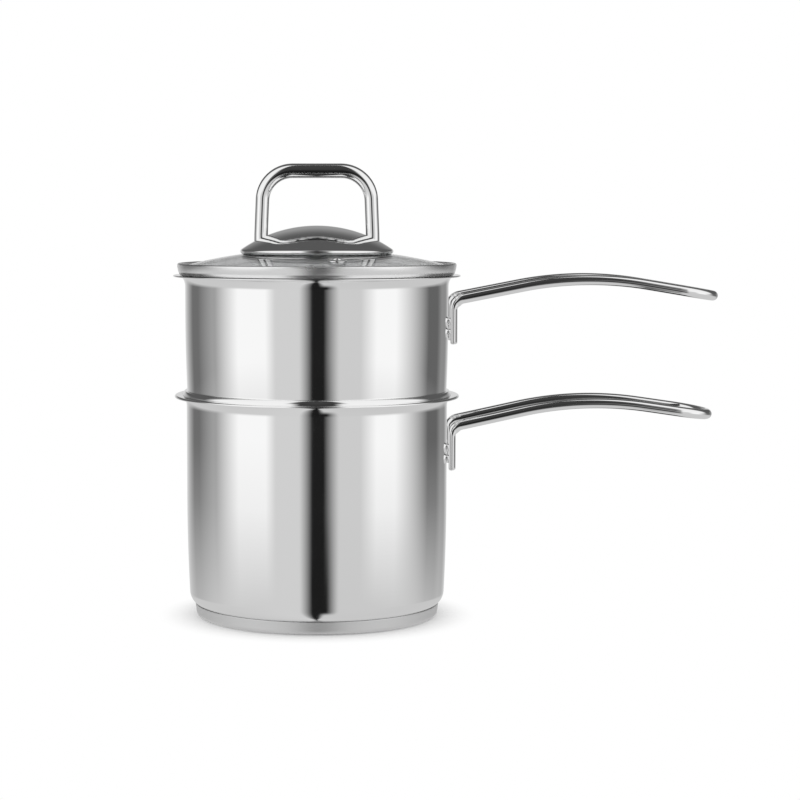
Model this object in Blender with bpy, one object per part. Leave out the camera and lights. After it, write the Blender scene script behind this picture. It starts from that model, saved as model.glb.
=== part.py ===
"""Two-tier fondue pot: a saucepan, an upper pan that nests in its mouth, and a glass lid.

Metres, +Z up. The origin is the centre of the flat underside of the base, and both wire
handles point along +X. The upper pan and the lid each hang from an empty on the pot's
axis, at the height of the rim that they rest on, so that they lift straight off.
"""

import math

import bmesh
import bpy
from mathutils import Matrix, Vector

# Clearances
FIT_GAP = 0.0003            # between faces that touch on the real pot
NEST_CLEARANCE = 0.0006     # upper pan's nested wall inside the lower pan's mouth
SKIRT_CLEARANCE = 0.0006    # lid's skirt inside the upper pan's mouth

# Roundness
ROUND_STEPS = 44            # facets round each pan and the lid's band
PLATE_STEPS = 32            # facets round the knob's plate
SMALL_STEPS = 16            # facets round each small turned piece
BAR_SIDES = 12              # facets round each bent bar

# Pans
PAN_WALL = 0.0009
LIP_REACH = 0.0074          # from the wall's outside to the lip's edge
FLARE_RISE = 0.0062         # height of the curve under a lip
FLARE_REACH = 0.0034        # how far that curve leads out
LIP_ROLL = 0.0010           # rolled-down edge of the lower lip
LIP_EDGE = 0.0015           # depth of that edge
LOWER_RADIUS = 0.0805       # outside of the lower pan's wall
LOWER_HEIGHT = 0.1374       # from the table to the top of the lower lip
LOWER_CORNER = 0.009
BELLY_HEIGHT = 0.075        # below this height the lower wall draws in
BELLY_RADIUS = 1.2
UPPER_OVERSIZE = 0.00065    # upper pan's radius over the lower pan's
UPPER_STAND = 0.0737        # from the lower lip to the upper lip
UPPER_BELLY = 0.0526        # above the lower lip; below this the upper wall draws in
COLLAR_RISE = 0.0026        # flat top of the stop collar, above the lower lip
COLLAR_FILLET = 0.0004      # corner between the wall and that top
COLLAR_ROLL = 0.0006        # rounded edge of that top
COLLAR_LEAN = (5.0, 40.0)   # degrees that the collar's side leans in at its foot and its top
COLLAR_SHARE = 0.565        # how far the collar reaches over the crest of the flare it seats on
COLLAR_GROOVE = 0.0020      # from the collar's edge in to the groove behind it
NEST_DEPTH = 0.0331          # upper pan's bottom, below the lower lip
NEST_DRAFT = 0.0010         # the nested wall narrows by this much on its way down
NEST_CORNER = 0.009

# Capsule base
BASE_INSET = 0.0048         # base's side, inside the lower pan's wall
CAP_WALL = 0.0005
CAP_CORNER = 0.0032
CAP_DRAFT = 0.0006
CORE_THICKNESS = 0.0054

# Wire handles
WIRE_RADIUS = 0.0031
WIRE_SPREAD = 0.0400        # between the two wires' centres
WIRE_BEND = 0.0070          # bend above each foot
RISE_SLOPE = 12.4           # degrees, from the bend to the crest
DROP_SLOPE = 8.2            # degrees, from the crest to the tip
CREST_RADIUS = 0.210
CREST_REACH = 0.171         # crest's distance from the pot's axis
UPPER_DROOP = 1.3           # degrees by which the upper handle hangs lower at its tip
UPPER_CREST_DROP = 0.0026   # crest of the upper handle's centre line, below its lip
LOWER_CREST_DROP = 0.0041
UPPER_REACH = 0.2472        # from the pot's axis to the tip's outside
LOWER_REACH = 0.2445
FOOT_LENGTH = 0.0209        # from the bend's start down to the foot's end
FOOT_DEPTH = 0.0038         # flattened foot, measured away from the wall
FOOT_WIDTH = 0.0074
WELD_HEIGHT = 0.0028        # how far the weld studs hold each foot off the wall
WELD_RADIUS = 0.0023
WELD_PITCH = 0.0068

# Lid
GLASS_SPHERE = 0.330
GLASS_THICKNESS = 0.0040
GLASS_CHAMFER = 0.0004
BAND_WALL = 0.0005
BAND_OVERHANG = 0.00485     # band's outside, beyond the upper pan's wall
BAND_ROLL = 0.0011          # top edge
BAND_RIM = 0.0016           # how far that edge stands above the glass and the band's sheet
BAND_HEM = 0.0015           # lower edge
BAND_LEAN = (3.0, 22.0)     # degrees that the face leans in at its top and its foot
BAND_COVER = 0.0036         # how far the band reaches in over the glass
BAND_TAPER = 0.0009
SKIRT_DEPTH = 0.0095
VENT_RADIUS = 0.0625        # eyelet's distance from the lid's axis
VENT_TURN = 11.0            # degrees from -Y towards +X
VENT_BORE = 0.0022
EYELET_TUBE = 0.0035
EYELET_FLANGE = 0.0056
EYELET_SHEET = 0.0007

# Knob
PLATE_RADIUS = 0.0472
PLATE_SPHERE = 0.0820
PLATE_EDGE = 0.0021         # upright edge that stands on the glass
PLATE_ROLL = 0.0010
PLATE_WALL = 0.0008
FINGER_GAP = 0.0290         # from the plate's crown to the loop's underside
LOOP_WIDTH = 0.0754         # outside, at the top of the legs
LOOP_SPLAY = 0.0009         # each leg's foot stands out by this much
LOOP_CORNER = 0.0185        # centre line of the loop's corners
LOOP_BAR_RADIUS = 0.0045
LOOP_LEG_RADIUS = 0.0042
POST_RADIUS = 0.006
SCREW_RADIUS = 0.0025
SCREW_HEAD = 0.0048
SCREW_HEAD_HEIGHT = 0.0028
WASHER_RADIUS = 0.0080
WASHER_THICKNESS = 0.0012
GASKET_RADIUS = 0.0092
GASKET_COLLAR = 0.0042
GASKET_FLANGE = 0.0015

# Worked out from the sizes above
LOWER_INSIDE = LOWER_RADIUS - PAN_WALL
BASE_RADIUS = LOWER_RADIUS - BASE_INSET
LOWER_FLOOR = CAP_WALL + CORE_THICKNESS + 2 * FIT_GAP
UPPER_RADIUS = LOWER_RADIUS + UPPER_OVERSIZE
UPPER_INSIDE = UPPER_RADIUS - PAN_WALL
BAND_RADIUS = UPPER_RADIUS + BAND_OVERHANG
GLASS_RADIUS = BAND_RADIUS - BAND_TAPER - BAND_WALL - FIT_GAP
GLASS_EDGE_BASE = BAND_WALL + 2 * FIT_GAP
SCREW_BORE = SCREW_RADIUS + FIT_GAP
GLASS_BORE = GASKET_COLLAR + FIT_GAP

FLARE_ANGLES = (0, 30, 60, 90)

STEEL = (0.89, 0.89, 0.89, 1.0)
SATIN_STEEL = (0.80, 0.80, 0.80, 1.0)
ALUMINIUM = (0.72, 0.73, 0.74, 1.0)
GLASS = (0.72, 0.75, 0.75, 1.0)
SILICONE = (0.80, 0.80, 0.78, 1.0)


def clear_scene():
    for item in list(bpy.data.objects):
        bpy.data.objects.remove(item, do_unlink=True)


def material(name, colour, roughness, metallic, alpha=1.0):
    made = bpy.data.materials.new(name)
    made.use_nodes = True
    shader = made.node_tree.nodes["Principled BSDF"]
    shader.inputs["Base Color"].default_value = colour
    shader.inputs["Roughness"].default_value = roughness
    shader.inputs["Metallic"].default_value = metallic
    shader.inputs["Alpha"].default_value = alpha
    return made


def polished_steel(name):
    return material(name, STEEL, 0.08, 1.0)


def arc(centre, radius, start, end, steps):
    """Points on an arc in the plane of radius and height; angles in degrees from outward."""
    points = []
    for step in range(steps + 1):
        angle = math.radians(start + (end - start) * step / steps)
        points.append((centre[0] + radius * math.cos(angle),
                       centre[1] + radius * math.sin(angle)))
    return points


def sagitta(sphere, radius):
    return sphere - math.sqrt(sphere * sphere - radius * radius)


def place(item, parent=None, location=(0.0, 0.0, 0.0), rotation=(0.0, 0.0, 0.0)):
    item.parent = parent
    item.location = location
    item.rotation_euler = rotation
    return item


def carrier(name, height, parent=None):
    """An empty on the pot's axis, which carries a piece that lifts off."""
    empty = bpy.data.objects.new(name, None)
    empty.empty_display_size = 0.02
    bpy.context.collection.objects.link(empty)
    return place(empty, parent, (0.0, 0.0, height))


def mesh_object(name, mesh, finish):
    mesh.materials.append(finish)
    item = bpy.data.objects.new(name, mesh)
    bpy.context.collection.objects.link(item)
    return item


def turned(name, outline, finish, steps=ROUND_STEPS, closed=False, wall=0.0):
    """Turn an outline, which runs down its outer side, round the Z axis.

    A closed outline makes a ring, and one that ends on the axis twice makes a disc. With a
    wall, the outline is the outside of a sheet of that thickness.
    """
    mesh = bpy.data.meshes.new(name)
    count = len(outline)
    edges = [(index, index + 1) for index in range(count - 1)]
    if closed:
        edges.append((count - 1, 0))
    mesh.from_pydata([(radius, 0.0, height) for radius, height in outline], edges, [])
    item = mesh_object(name, mesh, finish)
    screw = item.modifiers.new("turn", 'SCREW')
    screw.steps = steps
    screw.render_steps = steps
    screw.use_merge_vertices = True
    screw.merge_threshold = 0.000001
    screw.use_smooth_shade = True
    if wall:
        sheet = item.modifiers.new("sheet", 'SOLIDIFY')
        sheet.thickness = wall
        sheet.offset = -1.0
        sheet.use_even_offset = True
        sheet.use_quality_normals = True
    return item


def cutter(item):
    item.hide_render = True
    item.display_type = 'WIRE'
    return item


def combine(item, tool, operation):
    step = item.modifiers.new(operation.lower(), 'BOOLEAN')
    step.operation = operation
    step.solver = 'EXACT'
    step.object = cutter(tool)


def cylinder(name, radius, length, finish, steps=SMALL_STEPS):
    """An upright cylinder about the local origin, kept as a tool for cuts and joins."""
    mesh = bpy.data.meshes.new(name)
    form = bmesh.new()
    bmesh.ops.create_cone(form, cap_ends=True, segments=steps, radius1=radius,
                          radius2=radius, depth=length)
    form.to_mesh(mesh)
    form.free()
    return mesh_object(name, mesh, finish)


def squircle(width, depth, power, sides):
    """Half-width and half-depth offsets round a section: power 2 is an ellipse."""
    offsets = []
    for index in range(sides):
        angle = 2 * math.pi * index / sides
        along = math.copysign(abs(math.cos(angle)) ** (2 / power), math.cos(angle))
        across = math.copysign(abs(math.sin(angle)) ** (2 / power), math.sin(angle))
        offsets.append((depth * along, width * across))
    return offsets


def swept_bar(name, stations, finish, sides=BAR_SIDES):
    """Skin a bent bar. A station is its centre, tangent, up, half width, half depth, power."""
    form = bmesh.new()
    rings = []
    for centre, tangent, up, width, depth, power in stations:
        side = tangent.cross(up)
        rings.append([form.verts.new(centre + up * rise + side * reach)
                      for rise, reach in squircle(width, depth, power, sides)])
    for first, second in zip(rings, rings[1:]):
        for index in range(sides):
            after = (index + 1) % sides
            form.faces.new((first[index], first[after], second[after], second[index]))
    form.faces.new(list(reversed(rings[0])))
    form.faces.new(rings[-1])
    bmesh.ops.recalc_face_normals(form, faces=form.faces)
    mesh = bpy.data.meshes.new(name)
    form.to_mesh(mesh)
    form.free()
    mesh.shade_smooth()
    mesh.set_sharp_from_angle(angle=math.radians(50))
    return mesh_object(name, mesh, finish)


def flare(radius, top, lift, angles=FLARE_ANGLES):
    """Points on the flare below a lip, lifted off its outside: 0 is the wall, 90 the lip."""
    points = []
    for degrees in angles:
        angle = math.radians(degrees)
        points.append((radius + FLARE_REACH - (FLARE_REACH + lift) * math.cos(angle),
                       top - PAN_WALL - FLARE_RISE + (FLARE_RISE + lift) * math.sin(angle)))
    return points


def belly_drop(height):
    return sagitta(BELLY_RADIUS, BELLY_HEIGHT - height)


def lower_corner():
    """Centre of the lower pan's bottom corner, and the slope at which the wall meets it."""
    height = LOWER_FLOOR + LOWER_CORNER
    slope = math.asin((BELLY_HEIGHT - height) / BELLY_RADIUS)
    start = height - LOWER_CORNER * math.sin(slope)
    radius = LOWER_RADIUS - belly_drop(start) - LOWER_CORNER * math.cos(slope)
    return (radius, height), math.degrees(slope)


def corner_height(radius):
    """Height of the lower pan's underside at a radius on its bottom corner."""
    centre, _ = lower_corner()
    return centre[1] - math.sqrt(LOWER_CORNER ** 2 - (radius - centre[0]) ** 2)


def lower_pan_shell():
    """Lower pan: its outside, from the rolled-down edge of the lip to the bottom."""
    centre, slope = lower_corner()
    edge = LOWER_RADIUS + LIP_REACH
    outline = [(edge - PAN_WALL, LOWER_HEIGHT - LIP_EDGE)]
    outline += arc((edge - LIP_ROLL, LOWER_HEIGHT - LIP_ROLL), LIP_ROLL - PAN_WALL, 0, 90, 2)
    outline += reversed(flare(LOWER_RADIUS, LOWER_HEIGHT, 0.0))
    outline.append((LOWER_RADIUS, BELLY_HEIGHT))
    for share in (0.40, 0.72):
        height = BELLY_HEIGHT + (centre[1] - BELLY_HEIGHT) * share
        outline.append((LOWER_RADIUS - belly_drop(height), height))
    outline += arc(centre, LOWER_CORNER, -slope, -90, 3)
    outline.append((0.0, LOWER_FLOOR))
    return turned("lower_pan_shell", outline, polished_steel("lower_pan_steel"),
                  wall=PAN_WALL)


def base_cap():
    top = corner_height(BASE_RADIUS - CAP_WALL) - FIT_GAP
    side = BASE_RADIUS - CAP_DRAFT
    outline = [(BASE_RADIUS, top)]
    outline += arc((side - CAP_CORNER, CAP_CORNER), CAP_CORNER, 0, -90, 3)
    outline.append((0.0, 0.0))
    finish = material("base_satin_steel", SATIN_STEEL, 0.45, 1.0)
    return turned("base_cap", outline, finish, wall=CAP_WALL)


def base_core():
    """Heat-spreading disc that fills the space between the pan's bottom and the cap."""
    inset = CAP_WALL + FIT_GAP
    side = BASE_RADIUS - CAP_DRAFT - inset
    bottom = inset
    round_off = CAP_CORNER - inset
    centre, _ = lower_corner()
    reach = math.degrees(math.acos((side - centre[0]) / (LOWER_CORNER + FIT_GAP)))
    outline = [(0.0, LOWER_FLOOR - FIT_GAP)]
    outline += arc(centre, LOWER_CORNER + FIT_GAP, -90, -reach, 2)
    outline += arc((side - round_off, bottom + round_off), round_off, 0, -90, 2)
    outline.append((0.0, bottom))
    return turned("base_core", outline, material("core_aluminium", ALUMINIUM, 0.5, 1.0))


def collar_edge():
    """Outer edge of the stop collar, where its upright side meets the flare it seats in."""
    seat = flare(LOWER_RADIUS, 0.0, PAN_WALL + FIT_GAP)
    return (seat[2][0] + (seat[3][0] - seat[2][0]) * COLLAR_SHARE,
            seat[2][1] + (seat[3][1] - seat[2][1]) * COLLAR_SHARE)


def collar(wall):
    """Outside of the stop collar, a step in the wall that seats in the lower lip's flare."""
    edge = collar_edge()
    low, high = (math.radians(lean) for lean in COLLAR_LEAN)
    span = COLLAR_RISE - COLLAR_ROLL * (1 - math.sin(high)) - edge[1]
    side = span / (math.sin(high) - math.sin(low))
    centre = (edge[0] - side * math.cos(low), edge[1] - side * math.sin(low))
    roll = (centre[0] + (side - COLLAR_ROLL) * math.cos(high), COLLAR_RISE - COLLAR_ROLL)
    outline = [(wall, COLLAR_RISE + COLLAR_FILLET), (wall + COLLAR_FILLET, COLLAR_RISE)]
    outline += arc(roll, COLLAR_ROLL, 90, COLLAR_LEAN[1], 1)
    outline += arc(centre, side, COLLAR_LEAN[1], COLLAR_LEAN[0], 2)[1:]
    return outline + flare(LOWER_RADIUS, 0.0, PAN_WALL + FIT_GAP)[2::-1]


def collar_inside(wall):
    """Inside of the same collar: a groove in the wall, from its lower side up."""
    height = COLLAR_RISE - PAN_WALL
    lower = flare(LOWER_RADIUS, 0.0, 2 * PAN_WALL + FIT_GAP, (0, 25, 50))
    return lower + [(collar_edge()[0] - COLLAR_GROOVE, height), (wall - PAN_WALL, height)]


def upper_pan_shell(parent):
    """Upper pan, with heights measured from the lower lip: its inside, lip and outside."""
    foot = LOWER_INSIDE - NEST_CLEARANCE - NEST_DRAFT
    corner = (foot - NEST_CORNER, NEST_CORNER - NEST_DEPTH)
    belly = []
    for share in (0.0, 0.5, 1.0):
        height = UPPER_BELLY + (COLLAR_RISE + COLLAR_FILLET - UPPER_BELLY) * share
        belly.append((UPPER_RADIUS - sagitta(BELLY_RADIUS, UPPER_BELLY - height), height))
    wall = belly[-1][0]
    inside = [(0.0, PAN_WALL - NEST_DEPTH)]
    inside += arc(corner, NEST_CORNER - PAN_WALL, -90, 0, 3)
    inside += collar_inside(wall)
    inside += [(radius - PAN_WALL, height) for radius, height in reversed(belly)]
    inside += flare(UPPER_RADIUS, UPPER_STAND, PAN_WALL)
    edge = UPPER_RADIUS + LIP_REACH
    outside = [(edge, UPPER_STAND), (edge, UPPER_STAND - PAN_WALL)]
    outside += reversed(flare(UPPER_RADIUS, UPPER_STAND, 0.0))
    outside += belly[:-1] + collar(wall)
    outside += arc(corner, NEST_CORNER, 0, -90, 3)
    outside.append((0.0, -NEST_DEPTH))
    shell = turned("upper_pan_shell", inside + outside, polished_steel("upper_pan_steel"))
    return place(shell, parent)


def wire_line(wall, reach, crest, droop):
    """One wire's centre line from foot to tip turn, as (distance, height, slope) points."""
    rise_slope = RISE_SLOPE - droop
    drop_slope = DROP_SLOPE + droop
    rise = math.radians(rise_slope)
    drop = math.radians(drop_slope)
    summit = CREST_REACH - CREST_RADIUS * math.sin(math.radians(droop))
    foot_radius = wall + WELD_HEIGHT + FOOT_DEPTH / 2
    foot = math.sqrt(foot_radius ** 2 - (WIRE_SPREAD / 2) ** 2)
    crest_centre = crest - CREST_RADIUS
    rise_end = (summit - CREST_RADIUS * math.sin(rise),
                crest_centre + CREST_RADIUS * math.cos(rise))
    bend_out = foot + WIRE_BEND * (1 - math.sin(rise))
    bend_top = rise_end[1] - (rise_end[0] - bend_out) * math.tan(rise)
    bend_centre = (foot + WIRE_BEND, bend_top - WIRE_BEND * math.cos(rise))
    line = [(foot, bend_centre[1] - FOOT_LENGTH, 90.0), (foot, bend_centre[1], 90.0)]
    for step in range(1, 5):
        slope = 90.0 + (rise_slope - 90.0) * step / 4
        angle = math.radians(slope)
        line.append((bend_centre[0] - WIRE_BEND * math.sin(angle),
                     bend_centre[1] + WIRE_BEND * math.cos(angle), slope))
    for step in range(6):
        slope = rise_slope - (rise_slope + drop_slope) * step / 5
        angle = math.radians(slope)
        line.append((summit - CREST_RADIUS * math.sin(angle),
                     crest_centre + CREST_RADIUS * math.cos(angle), slope))
    turn = reach - (WIRE_SPREAD / 2 + WIRE_RADIUS) * math.cos(drop)
    height = line[-1][1] - (turn - line[-1][0]) * math.tan(drop)
    line.append((turn, height, -drop_slope))
    return line


def wire_stations(wall, reach, crest, droop):
    """Stations of a whole hairpin: out along +Y, round the tip and back along -Y."""
    line = wire_line(wall, reach, crest, droop)
    half = WIRE_SPREAD / 2
    swing = math.asin(half / (wall + WELD_HEIGHT + FOOT_DEPTH / 2))
    out, back = [], []
    for index, (distance, height, slope) in enumerate(line):
        angle = math.radians(slope)
        tangent = Vector((math.cos(angle), 0.0, math.sin(angle)))
        up = Vector((-math.sin(angle), 0.0, math.cos(angle)))
        flat = index < 2
        width = FOOT_WIDTH / 2 if flat else WIRE_RADIUS
        depth = FOOT_DEPTH / 2 if flat else WIRE_RADIUS
        power = 3.0 if flat else 2.0
        turn = swing if flat else 0.0
        for side, stations in ((1, out), (-1, back)):
            facing = Matrix.Rotation(side * turn, 3, tangent) @ up
            centre = Vector((distance, side * half, height))
            stations.append((centre, tangent * side, facing, width, depth, power))
    tip_centre = Vector((line[-1][0], 0.0, line[-1][1]))
    angle = math.radians(line[-1][2])
    ahead = Vector((math.cos(angle), 0.0, math.sin(angle)))
    up = Vector((-math.sin(angle), 0.0, math.cos(angle)))
    across = Vector((0.0, 1.0, 0.0))
    tip = []
    for step in range(1, 10):
        turn = math.pi * step / 10
        outward = across * math.cos(turn) + ahead * math.sin(turn)
        tangent = ahead * math.cos(turn) - across * math.sin(turn)
        tip.append((tip_centre + outward * half, tangent, up, WIRE_RADIUS, WIRE_RADIUS, 2.0))
    return out + tip + back[::-1]


def weld_spots(name, wall, foot_end, finish):
    """Four studs, two behind each foot, that stand the feet off the wall."""
    spots = []
    centre_radius = wall + WELD_HEIGHT + FOOT_DEPTH / 2
    swing = math.asin(WIRE_SPREAD / 2 / centre_radius)
    length = WELD_HEIGHT - FIT_GAP + FOOT_DEPTH / 2
    middle = wall + FIT_GAP + length / 2
    for side in (1, -1):
        for level in (1, 2):
            spot = cylinder(f"{name}_weld", WELD_RADIUS, length, finish, steps=12)
            turn = side * swing
            height = foot_end + WELD_PITCH * level
            place(spot, None, (middle * math.cos(turn), middle * math.sin(turn), height),
                  (0.0, math.pi / 2, turn))
            spots.append(spot)
    return spots


def wire_handle(name, wall, reach, crest, droop=0.0, parent=None):
    """Hairpin of round wire, with its flattened feet and weld studs; heights as its pan's."""
    finish = polished_steel(f"{name}_steel")
    stations = wire_stations(wall, reach, crest, droop)
    handle = swept_bar(name, stations, finish)
    place(handle, parent)
    foot_end = stations[0][0].z
    for spot in weld_spots(name, wall, foot_end, finish):
        spot.parent = parent
        combine(handle, spot, 'UNION')
    return handle


def glass_top(radius):
    """Height of the glass's upper face above the upper lip."""
    rim = GLASS_EDGE_BASE + GLASS_THICKNESS
    return rim + sagitta(GLASS_SPHERE, GLASS_RADIUS) - sagitta(GLASS_SPHERE, radius)


def lid_glass(parent):
    face = GLASS_RADIUS - GLASS_CHAMFER
    radii = [GLASS_BORE + (face - GLASS_BORE) * share for share in (0.0, 0.3, 0.6, 0.85, 1.0)]
    outline = [(radius, glass_top(radius)) for radius in radii]
    outline.append((GLASS_RADIUS, glass_top(face) - GLASS_CHAMFER))
    outline.append((GLASS_RADIUS, glass_top(face) - GLASS_THICKNESS + GLASS_CHAMFER))
    outline += [(radius, glass_top(radius) - GLASS_THICKNESS) for radius in reversed(radii)]
    finish = material("lid_clear_glass", GLASS, 0.02, 0.0, alpha=0.35)
    pane = place(turned("lid_glass", outline, finish, closed=True), parent)
    drill = cylinder("vent_drill", EYELET_TUBE + FIT_GAP, 4 * GLASS_THICKNESS, finish)
    location, tilt = vent_seat()
    place(drill, parent, location, tilt)
    combine(pane, drill, 'DIFFERENCE')
    return pane


def vent_seat():
    """Where the eyelet stands on the glass, square to its face, near the -Y side."""
    slope = math.asin(VENT_RADIUS / GLASS_SPHERE)
    turn = math.radians(VENT_TURN)
    location = (VENT_RADIUS * math.sin(turn), -VENT_RADIUS * math.cos(turn),
                glass_top(VENT_RADIUS))
    return location, (slope, 0.0, turn)


def lid_band(parent):
    """Rolled steel band: it grips the glass's edge, sits on the lip and centres the lid."""
    high, low = (math.radians(lean) for lean in BAND_LEAN)
    cover = BAND_RADIUS - BAND_COVER
    stand = FIT_GAP + BAND_WALL
    corner = BAND_RADIUS - BAND_ROLL
    corner_top = glass_top(corner) + stand + BAND_RIM - BAND_ROLL
    span = corner_top - BAND_ROLL * math.sin(high) - BAND_HEM * (1 - math.sin(low))
    face = span / (math.sin(low) - math.sin(high))
    centre = (corner - (face - BAND_ROLL) * math.cos(high),
              corner_top + (face - BAND_ROLL) * math.sin(high))
    hem = (centre[0] + (face - BAND_HEM) * math.cos(low),
           centre[1] - (face - BAND_HEM) * math.sin(low))
    outline = [(cover, glass_top(cover) + stand)]
    outline += arc((corner, corner_top), BAND_ROLL, 150, -BAND_LEAN[0], 3)
    outline += arc(centre, face, -BAND_LEAN[0], -BAND_LEAN[1], 2)[1:]
    outline += arc(hem, BAND_HEM, -BAND_LEAN[1], -90, 2)[1:]
    outline += flare(UPPER_RADIUS, 0.0, PAN_WALL + FIT_GAP, (60, 30))
    skirt = UPPER_INSIDE - SKIRT_CLEARANCE
    outline += [(skirt, -PAN_WALL - FLARE_RISE), (skirt, -SKIRT_DEPTH)]
    band = turned("lid_band", outline, polished_steel("band_steel"), wall=BAND_WALL)
    return place(band, parent)


def vent_eyelet(parent):
    """Steam vent: a rivet of thin sheet through the glass, flanged on both faces."""
    top = FIT_GAP + EYELET_SHEET
    below = -GLASS_THICKNESS - FIT_GAP
    lower_flange = EYELET_TUBE + (EYELET_FLANGE - EYELET_TUBE) * 0.6
    outline = [(VENT_BORE, top), (EYELET_TUBE, top), (EYELET_FLANGE, FIT_GAP + EYELET_SHEET / 2),
               (EYELET_FLANGE, FIT_GAP), (EYELET_TUBE, FIT_GAP), (EYELET_TUBE, below),
               (lower_flange, below), (lower_flange, below - EYELET_SHEET),
               (VENT_BORE, below - EYELET_SHEET)]
    eyelet = turned("vent_eyelet", outline, polished_steel("eyelet_steel"),
                    steps=SMALL_STEPS, closed=True)
    location, tilt = vent_seat()
    return place(eyelet, parent, location, tilt)


def plate_heights():
    """Foot of the knob plate's edge, start of its dome and its crown, above the lip."""
    foot = glass_top(PLATE_RADIUS) + FIT_GAP
    dome_edge = PLATE_RADIUS - PLATE_ROLL
    spring = foot + PLATE_EDGE + PLATE_ROLL
    return foot, spring, spring + sagitta(PLATE_SPHERE, dome_edge)


def dome_outline(lift=0.0):
    """The plate's dome from its crown to where the edge rolls over, raised by a clearance."""
    _, _, crown = plate_heights()
    outline = []
    for share in (0.0, 0.25, 0.58, 0.88):
        radius = (PLATE_RADIUS - PLATE_ROLL) * share
        outline.append((radius, crown + lift - sagitta(PLATE_SPHERE, radius)))
    return outline


def knob_plate(parent):
    foot, spring, _ = plate_heights()
    outline = dome_outline()
    outline += arc((PLATE_RADIUS - PLATE_ROLL, spring - PLATE_ROLL), PLATE_ROLL, 60, 0, 2)
    outline.append((PLATE_RADIUS, foot))
    plate = turned("knob_plate", outline, polished_steel("plate_steel"), PLATE_STEPS,
                   wall=PLATE_WALL)
    return place(plate, parent)


def loop_stations():
    """The loop knob from foot to foot, in the XZ plane, heights above the upper lip."""
    _, _, crown = plate_heights()
    bar_height = crown + FINGER_GAP + LOOP_BAR_RADIUS
    leg = LOOP_WIDTH / 2 - LOOP_LEG_RADIUS
    foot_height = crown - sagitta(PLATE_SPHERE, leg + LOOP_LEG_RADIUS) - LOOP_LEG_RADIUS
    corner = (leg - LOOP_CORNER, bar_height - LOOP_CORNER)
    half = [(leg + LOOP_SPLAY, foot_height, 90.0, LOOP_LEG_RADIUS)]
    for step in range(7):
        slope = 90.0 + 90.0 * step / 6
        angle = math.radians(slope - 90.0)
        radius = LOOP_LEG_RADIUS + (LOOP_BAR_RADIUS - LOOP_LEG_RADIUS) * step / 6
        half.append((corner[0] + LOOP_CORNER * math.cos(angle),
                     corner[1] + LOOP_CORNER * math.sin(angle), slope, radius))
    stations = []
    for distance, height, slope, radius in half:
        angle = math.radians(slope)
        tangent = Vector((math.cos(angle), 0.0, math.sin(angle)))
        up = Vector((math.sin(angle), 0.0, -math.cos(angle)))
        stations.append((Vector((distance, 0.0, height)), tangent, up, radius, radius, 2.0))
    for centre, tangent, up, width, depth, power in reversed(stations[:]):
        mirrored = Vector((-centre.x, 0.0, centre.z))
        stations.append((mirrored, Vector((tangent.x, 0.0, -tangent.z)),
                         Vector((-up.x, 0.0, up.z)), width, depth, power))
    return stations


def knob_loop(parent):
    """Loop of round bar whose feet are cut to the dome of the plate that they stand on."""
    finish = polished_steel("loop_steel")
    loop = place(swept_bar("knob_loop", loop_stations(), finish), parent)
    dome = dome_outline(1.15 * FIT_GAP)
    below = dome[-1][1] - 2 * LOOP_BAR_RADIUS
    trim = turned("dome_trim", dome + [(dome[-1][0], below), (0.0, below)], finish,
                  PLATE_STEPS)
    place(trim, parent)
    combine(loop, trim, 'DIFFERENCE')
    return loop


def knob_post(parent):
    """Threaded post under the plate's crown, which the lid screw pulls down on the glass."""
    _, _, crown = plate_heights()
    foot = glass_top(0.0) + FIT_GAP
    top = crown - PLATE_WALL - sagitta(PLATE_SPHERE - PLATE_WALL, POST_RADIUS) - FIT_GAP
    bore_top = top - SCREW_RADIUS
    outline = [(0.0, top), (POST_RADIUS, top), (POST_RADIUS, foot), (SCREW_BORE, foot),
               (SCREW_BORE, bore_top), (0.0, bore_top)]
    post = turned("knob_post", outline, polished_steel("post_steel"), steps=SMALL_STEPS)
    return place(post, parent)


def under_glass():
    """Underside of the glass at its bore, above the upper lip."""
    return glass_top(GASKET_RADIUS) - GLASS_THICKNESS


def knob_gasket(parent):
    """Silicone bush: a collar in the glass's bore over a flange on its underside."""
    flange_top = under_glass() - FIT_GAP
    collar_top = glass_top(0.0)
    outline = [(SCREW_BORE, collar_top), (GASKET_COLLAR, collar_top), (GASKET_COLLAR, flange_top),
               (GASKET_RADIUS, flange_top), (GASKET_RADIUS, flange_top - GASKET_FLANGE),
               (SCREW_BORE, flange_top - GASKET_FLANGE)]
    gasket = turned("knob_gasket", outline, material("gasket_silicone", SILICONE, 0.6, 0.0),
                    steps=SMALL_STEPS, closed=True)
    return place(gasket, parent)


def knob_washer(parent):
    top = under_glass() - GASKET_FLANGE - 2 * FIT_GAP
    outline = [(SCREW_BORE, top), (WASHER_RADIUS, top), (WASHER_RADIUS, top - WASHER_THICKNESS),
               (SCREW_BORE, top - WASHER_THICKNESS)]
    washer = turned("knob_washer", outline, polished_steel("washer_steel"),
                    steps=SMALL_STEPS, closed=True)
    return place(washer, parent)


def knob_screw(parent):
    """Pan-head screw from below, through washer, gasket and glass into the post."""
    _, _, crown = plate_heights()
    head_top = under_glass() - GASKET_FLANGE - WASHER_THICKNESS - 3 * FIT_GAP
    post_top = crown - PLATE_WALL - sagitta(PLATE_SPHERE - PLATE_WALL, POST_RADIUS) - FIT_GAP
    shank_top = post_top - SCREW_RADIUS - FIT_GAP
    edge = SCREW_HEAD_HEIGHT / 2
    outline = [(0.0, shank_top), (SCREW_RADIUS, shank_top), (SCREW_RADIUS, head_top),
               (SCREW_HEAD, head_top), (SCREW_HEAD, head_top - edge),
               (SCREW_HEAD - edge, head_top - SCREW_HEAD_HEIGHT),
               (0.0, head_top - SCREW_HEAD_HEIGHT)]
    screw = turned("knob_screw", outline, polished_steel("screw_steel"), steps=SMALL_STEPS)
    return place(screw, parent)


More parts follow.
